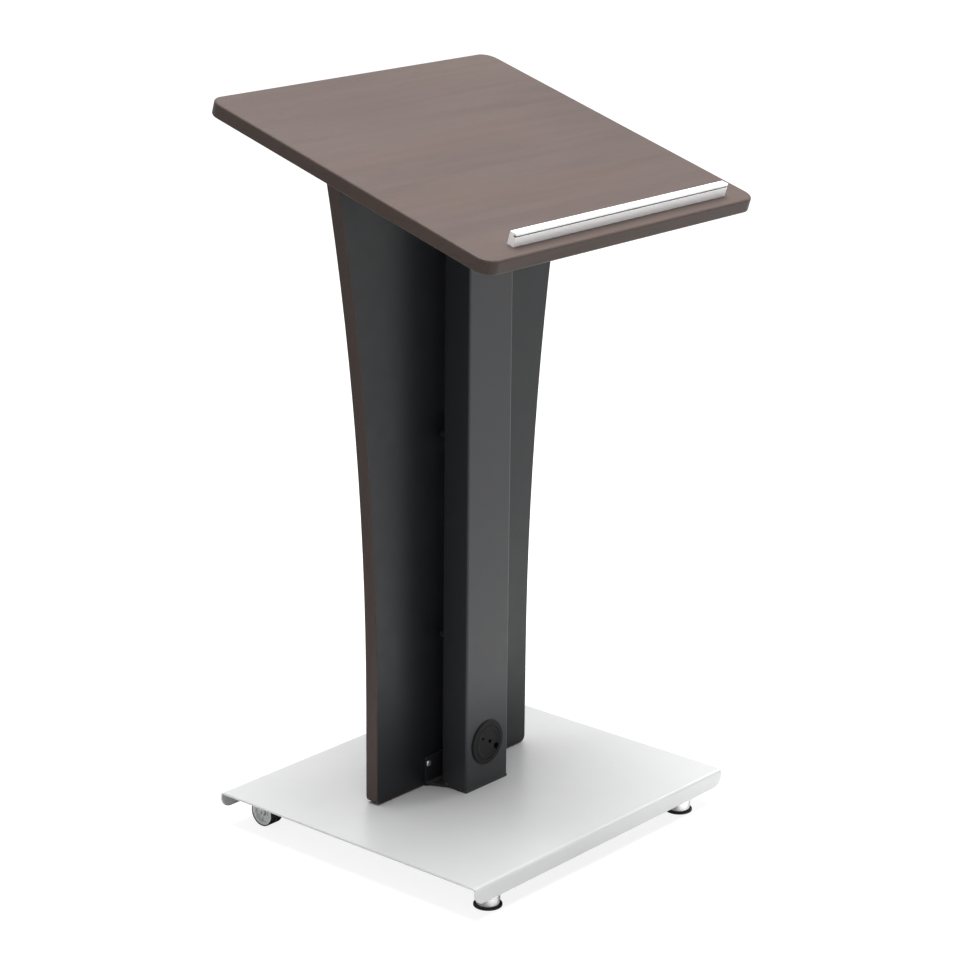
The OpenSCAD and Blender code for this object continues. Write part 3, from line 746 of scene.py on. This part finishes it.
def base_drills(height):
    """Round cutters for the column's bolts, through the sheet at a height."""
    radius = 4.5 * MM
    bolts = node_mesh("column_bolts")
    drills = []
    for centre in island_centres(bolts):
        drill = turned([(0, -1.0), (radius, -1.0), (radius, 1.0), (0, 1.0)], 40)
        bmesh.ops.scale(drill, vec=(1, 1, 0.02), verts=drill.verts)
        drills.append(moved(drill, Matrix.Translation((centre.x, centre.y, height))))
    bolts.free()
    return merged(drills)


def base_plate():
    """Folded sheet with fine bends, round flange corners and holes for the column's bolts."""
    low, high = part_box("base_plate")
    sheet = base_sheet(low, high)
    bevel_sharp(sheet, 0.35 * MM)
    bm = combined(sheet, base_drills(high.z), "DIFFERENCE")
    finish_piece("base_plate_piece", bm, ["base_plate"], "silver_coat")


def island_centres(bm):
    """The middle of each separate solid in a mesh, in a fixed order."""
    left = set(bm.verts)
    centres = []
    while left:
        island, edge = set(), [left.pop()]
        while edge:
            vert = edge.pop()
            island.add(vert)
            for link in vert.link_edges:
                other = link.other_vert(vert)
                if other in left:
                    left.discard(other)
                    edge.append(other)
        low, high = extents(v.co for v in island)
        centres.append((low + high) / 2)
    return sorted(centres, key=lambda c: (round(c.x, 5), round(c.y, 5), round(c.z, 5)))


# ---------- wheels ----------


def wheel_place(side):
    """A wheel's name, radius, width and the placing that turns a lathe's z outward on its axle."""
    name = "left" if side < 0 else "right"
    low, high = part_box(f"wheel_{name}_tyre")
    turn = Matrix.Rotation(side * math.pi / 2, 4, "Y")
    return name, (high.z - low.z) / 2, high.x - low.x, Matrix.Translation((low + high) / 2) @ turn


def hub_radius(name):
    """The radius where a wheel's hub meets its tyre."""
    low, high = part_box(f"wheel_{name}_hub")
    return (high.z - low.z) / 2


def wheel_tyre(side):
    """Rubber tyre with a rounded shoulder and two fine grooves round the tread."""
    name, radius, width, place = wheel_place(side)
    shoulder, groove, groove_depth = 1.2 * MM, 0.7 * MM, 0.5 * MM
    half, hub = width / 2, hub_radius(name)
    tread = []
    for centre in (-4.5 * MM, 4.5 * MM):
        tread += [(radius, centre - groove), (radius - groove_depth, centre - groove * 0.6)]
        tread += [(radius - groove_depth, centre + groove * 0.6), (radius, centre + groove)]
    profile = [(hub, -half), (hub + 0.25 * MM, -half)]
    profile += arc((radius - shoulder, -half + shoulder), shoulder, 270, 360, 6)
    profile += tread
    profile += arc((radius - shoulder, half - shoulder), shoulder, 0, 90, 6)
    profile += [(hub + 0.25 * MM, half), (hub, half)]
    tyre = moved(turned(profile, 96), place)
    finish_piece(f"wheel_{name}_tyre_piece", tyre, [f"wheel_{name}_tyre"], "tyre_rubber")


def wheel_ribs(inner, outer, height):
    """Five soft-edged ribs that stand on the web between the boss and the rim."""
    count, first_turn, rib_w, rib_h, sunk = 5, 0.3, 1.6 * MM, 2.6 * MM, 0.5 * MM
    start = inner - sunk
    reach = outer + sunk - start
    ribs = []
    for index in range(count):
        rib = bmesh.new()
        bmesh.ops.create_cube(rib, size=1.0)
        bmesh.ops.scale(rib, vec=(reach, rib_w, rib_h), verts=rib.verts)
        bmesh.ops.translate(rib, vec=(start + reach / 2, 0, height), verts=rib.verts)
        bmesh.ops.bevel(rib, geom=rib.edges, offset=0.35 * MM, **BEVEL)
        turn = 2 * math.pi * index / count + first_turn
        ribs.append(moved(rib, Matrix.Rotation(turn, 4, "Z")))
    return merged(ribs)


def wheel_hub(side):
    """Moulded hub: a rim with a stepped lip, a recessed ribbed web and a boss for the bush."""
    name, _, width, place = wheel_place(side)
    hub, bush, boss = hub_radius(name), 6 * MM, 8 * MM
    half, boss_out, web_out = width / 2 - 1 * MM, width / 2 - 4 * MM, width / 2 - 7 * MM
    web_in, rim_in, soft, lip = -4 * MM, hub - 4.2 * MM, 0.5 * MM, 0.4 * MM
    outer = arc((hub - soft, half - soft), soft, 0, 90, 4)
    outer += [(hub - 1.4 * MM, half), (hub - 1.7 * MM, half - lip), (hub - 2.8 * MM, half - lip)]
    outer += arc((rim_in + soft, half - lip - soft), soft, 90, 180, 4)
    outer += arc((rim_in - 1.4 * MM, web_out + 1.2 * MM), 1.2 * MM, 0, -90, 5)
    outer += arc((boss + 0.8 * MM, web_out + 0.8 * MM), 0.8 * MM, 270, 180, 4)
    outer += arc((boss - 0.4 * MM, boss_out - 0.4 * MM), 0.4 * MM, 0, 90, 3) + [(bush, boss_out)]
    inner = [(bush, -half), (boss, -half), (boss, web_in)]
    inner += [(rim_in - 1 * MM, web_in), (rim_in, -half), (hub, -half)]
    ribs = wheel_ribs(boss, rim_in, web_out + 0.6 * MM)
    body = moved(combined(turned(inner + outer, 96), ribs, "UNION"), place)
    finish_piece(f"wheel_{name}_hub_piece", body, [f"wheel_{name}_hub"], "grey_plastic")


# ---------- levelling feet ----------


def foot_pad(name, at_foot):
    """Rubber pad with round edges and a rebate that takes the cup."""
    low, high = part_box(f"foot_{name}_pad")
    cup_low, cup_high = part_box(f"foot_{name}_cup")
    pad_r, pad_t, edge = (high.x - low.x) / 2, high.z - low.z, 1 * MM
    rebate_r, rebate_z = (cup_high.x - cup_low.x) / 2 + 0.4 * MM, cup_low.z - 0.1 * MM
    pad = [(0, 0.3 * MM), (14 * MM, 0.3 * MM), (15 * MM, 0)]
    pad += arc((pad_r - edge, edge), edge, -90, 0, 5)
    pad += arc((pad_r - edge, pad_t - edge), edge, 0, 90, 5)
    pad += [(rebate_r + 0.3 * MM, pad_t), (rebate_r, pad_t - 0.3 * MM)]
    pad += [(rebate_r, rebate_z), (0, rebate_z)]
    pad_shape = moved(turned(pad, 96), at_foot)
    finish_piece(f"foot_{name}_pad_piece", pad_shape, [f"foot_{name}_pad"], "pad_rubber")


def foot_cup(name, at_foot):
    """Plated cup with a fine groove round it and a rolled upper edge."""
    wall, crown, stud_hole = 2 * MM, 2 * MM, 5 * MM
    low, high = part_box(f"foot_{name}_cup")
    cup_r = (high.x - low.x) / 2
    groove_r = cup_r - 0.25 * MM
    cup = [(cup_r - wall, low.z), (cup_r - 0.3 * MM, low.z), (cup_r, low.z + 0.3 * MM)]
    cup += [(cup_r, low.z + 14 * MM), (groove_r, low.z + 14.3 * MM)]
    cup += [(groove_r, low.z + 15.2 * MM), (cup_r, low.z + 15.5 * MM)]
    cup += arc((cup_r - crown, high.z - crown), crown, 0, 90, 6)
    cup += [(stud_hole + 0.4 * MM, high.z), (stud_hole, high.z - 0.4 * MM)]
    cup += [(stud_hole, high.z - wall), (cup_r - wall, high.z - wall)]
    cup_shape = moved(turned(cup, 96), at_foot)
    finish_piece(f"foot_{name}_cup_piece", cup_shape, [f"foot_{name}_cup"], "plated_cup")


def foot_stud(name, at_foot):
    """Threaded stud with the round flange that sits in the cup."""
    thread_r, pitch, sunk = 4.95 * MM, 1.5 * MM, 1 * MM
    soft, flange_t = 0.3 * MM, 4 * MM
    low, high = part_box(f"foot_{name}_stud")
    flange_r = (high.x - low.x) / 2
    rim = [(flange_r - soft, 0), (flange_r, soft)]
    rim += [(flange_r, flange_t - soft), (flange_r - soft, flange_t)]
    disc = turned([(0, 0)] + rim + [(0, flange_t)], 48)
    rod = threaded_rod(thread_r, pitch, high.z - low.z - sunk)
    stud = combined(
        moved(disc, Matrix.Translation((0, 0, low.z))),
        moved(rod, Matrix.Translation((0, 0, low.z + sunk))), "UNION",
    )
    finish_piece(f"foot_{name}_stud_piece", moved(stud, at_foot), [f"foot_{name}_stud"], "zinc_steel")


def levelling_foot(side):
    """Pad, cup and stud of one foot, about the middle of its pad."""
    name = "left" if side < 0 else "right"
    low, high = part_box(f"foot_{name}_pad")
    centre = (low + high) / 2
    at_foot = Matrix.Translation((centre.x, centre.y, 0))
    foot_pad(name, at_foot)
    foot_cup(name, at_foot)
    foot_stud(name, at_foot)


# ---------- studs and welds ----------


def bracket_studs():
    """The four welded studs that hold the wheel brackets, with their threads."""
    thread_r, pitch = 2.5 * MM, 0.8 * MM
    source = node_mesh("bracket_studs")
    low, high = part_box("bracket_studs")
    rods = []
    for centre in island_centres(source):
        rod = threaded_rod(thread_r, pitch, high.z - low.z, segments=20)
        rods.append(moved(rod, Matrix.Translation((centre.x, centre.y, low.z))))
    source.free()
    finish_piece("bracket_studs_piece", merged(rods), ["bracket_studs"], "zinc_steel")


def bead_path(side, edge_x, rear_y, stride):
    """Points and outward directions from a side face, round the rear corner, to the rear face."""
    corner, lip, side_run, corner_steps = 3 * MM, 18 * MM, 12 * MM, 9
    points = [(edge_x, rear_y - side_run + step * stride, side, 0.0) for step in range(19)]
    for step in range(1, corner_steps):
        angle = math.radians(90 * step / corner_steps)
        out_x, out_y = side * math.cos(angle), math.sin(angle)
        x, y = edge_x + corner * (out_x - side), rear_y + corner * (out_y - 1)
        points.append((x, y, out_x, out_y))
    for step in range(int((lip - corner) / stride)):
        points.append((edge_x - side * (corner + step * stride), rear_y, 0.0, 1.0))
    return points


def weld_bead(points, height, stride):
    """One rippled bead along a path, thinner towards its two ends."""
    leg, ripple, ripple_step, root, taper = 2.4 * MM, 0.25 * MM, 1.5 * MM, 0.5 * MM, 2 * MM
    bm = bmesh.new()
    rings = []
    for index, (x, y, out_x, out_y) in enumerate(points):
        phase = (index * stride / ripple_step) % 1.0
        end_room = min(index, len(points) - 1 - index) * stride
        size = (leg + ripple * (1 - 2 * abs(phase - 0.5))) * min(1.0, 0.35 + end_room / taper)
        section = [(-root, 0.0), (size, 0.0), (size * 0.72, size * 0.42)]
        section += [(size * 0.42, size * 0.72), (0.0, size), (-root, size)]
        ring = [bm.verts.new((x + out_x * u, y + out_y * u, height + z)) for u, z in section]
        rings.append(ring)
    joined_rings(bm, rings, closed=False)
    for ring in (rings[0], rings[-1]):
        bm.faces.new(ring)
    return bm


def weld_beads():
    """Weld beads between the column's rear corners and the plate under it."""
    stride = 0.5 * MM
    low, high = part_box("column")
    beads = []
    for side in (-1, 1):
        path = bead_path(side, side * high.x, high.y, stride)
        beads.append(weld_bead(path, low.z, stride))
    finish_piece("column_weld_beads", merged(beads), [], "charcoal_coat", beside="column")


# ---------- pieces ----------

REFINED = [
    # CAD node, finish, edge rounding, grain upright
    ("foot_plate", "black_coat", 0.3 * MM, False),
    ("column_bolts", "zinc_steel", 0.3 * MM, False),
    ("column_weld_nuts", "zinc_steel", 0.3 * MM, False),
    ("column", "charcoal_coat", 0.25 * MM, False),
    ("top_bracket", "black_coat", 0.3 * MM, False),
    ("top_board", "wood_laminate", 0.12 * MM, False),
    ("top_screws", "zinc_steel", 0.12 * MM, False),
    ("stop_screws", "zinc_steel", 0.12 * MM, False),
    ("panel_board", "wood_laminate", 0.15 * MM, True),
    ("panel_back_laminate", "dark_laminate", 0.12 * MM, False),
    ("panel_edge_band", "wood_edging", 0.2 * MM, True),
    ("panel_spacers", "black_coat", 0.3 * MM, False),
    ("panel_bolts", "zinc_steel", 0.12 * MM, False),
    ("panel_inserts", "zinc_steel", 0.2 * MM, False),
    ("panel_angles", "black_coat", 0.25 * MM, False),
    ("angle_screws", "zinc_steel", 0.1 * MM, False),
    ("foot_plate_screws", "zinc_steel", 0.12 * MM, False),
    ("grommet_liner", "black_plastic", 0.25 * MM, False),
    ("grommet_cap", "black_plastic", 0.25 * MM, False),
    ("wheel_brackets", "zinc_steel", 0.3 * MM, False),
    ("bracket_nuts", "zinc_steel", 0.2 * MM, False),
    ("wheel_axles", "zinc_steel", 0.2 * MM, False),
    ("axle_nuts", "zinc_steel", 0.2 * MM, False),
    ("foot_weld_nuts", "zinc_steel", 0.3 * MM, False),
    ("wheel_left_bush", "bronze", 0.2 * MM, False),
    ("wheel_right_bush", "bronze", 0.2 * MM, False),
]

make_studio()
for node, finish, width, upright in REFINED:
    refine(node, finish, width, upright)
top_frame = TopFrame()
top_edge_band(top_frame)
paper_stop(top_frame)
base_plate()
bracket_studs()
weld_beads()
for side in (-1, 1):
    wheel_tyre(side)
    wheel_hub(side)
    levelling_foot(side)
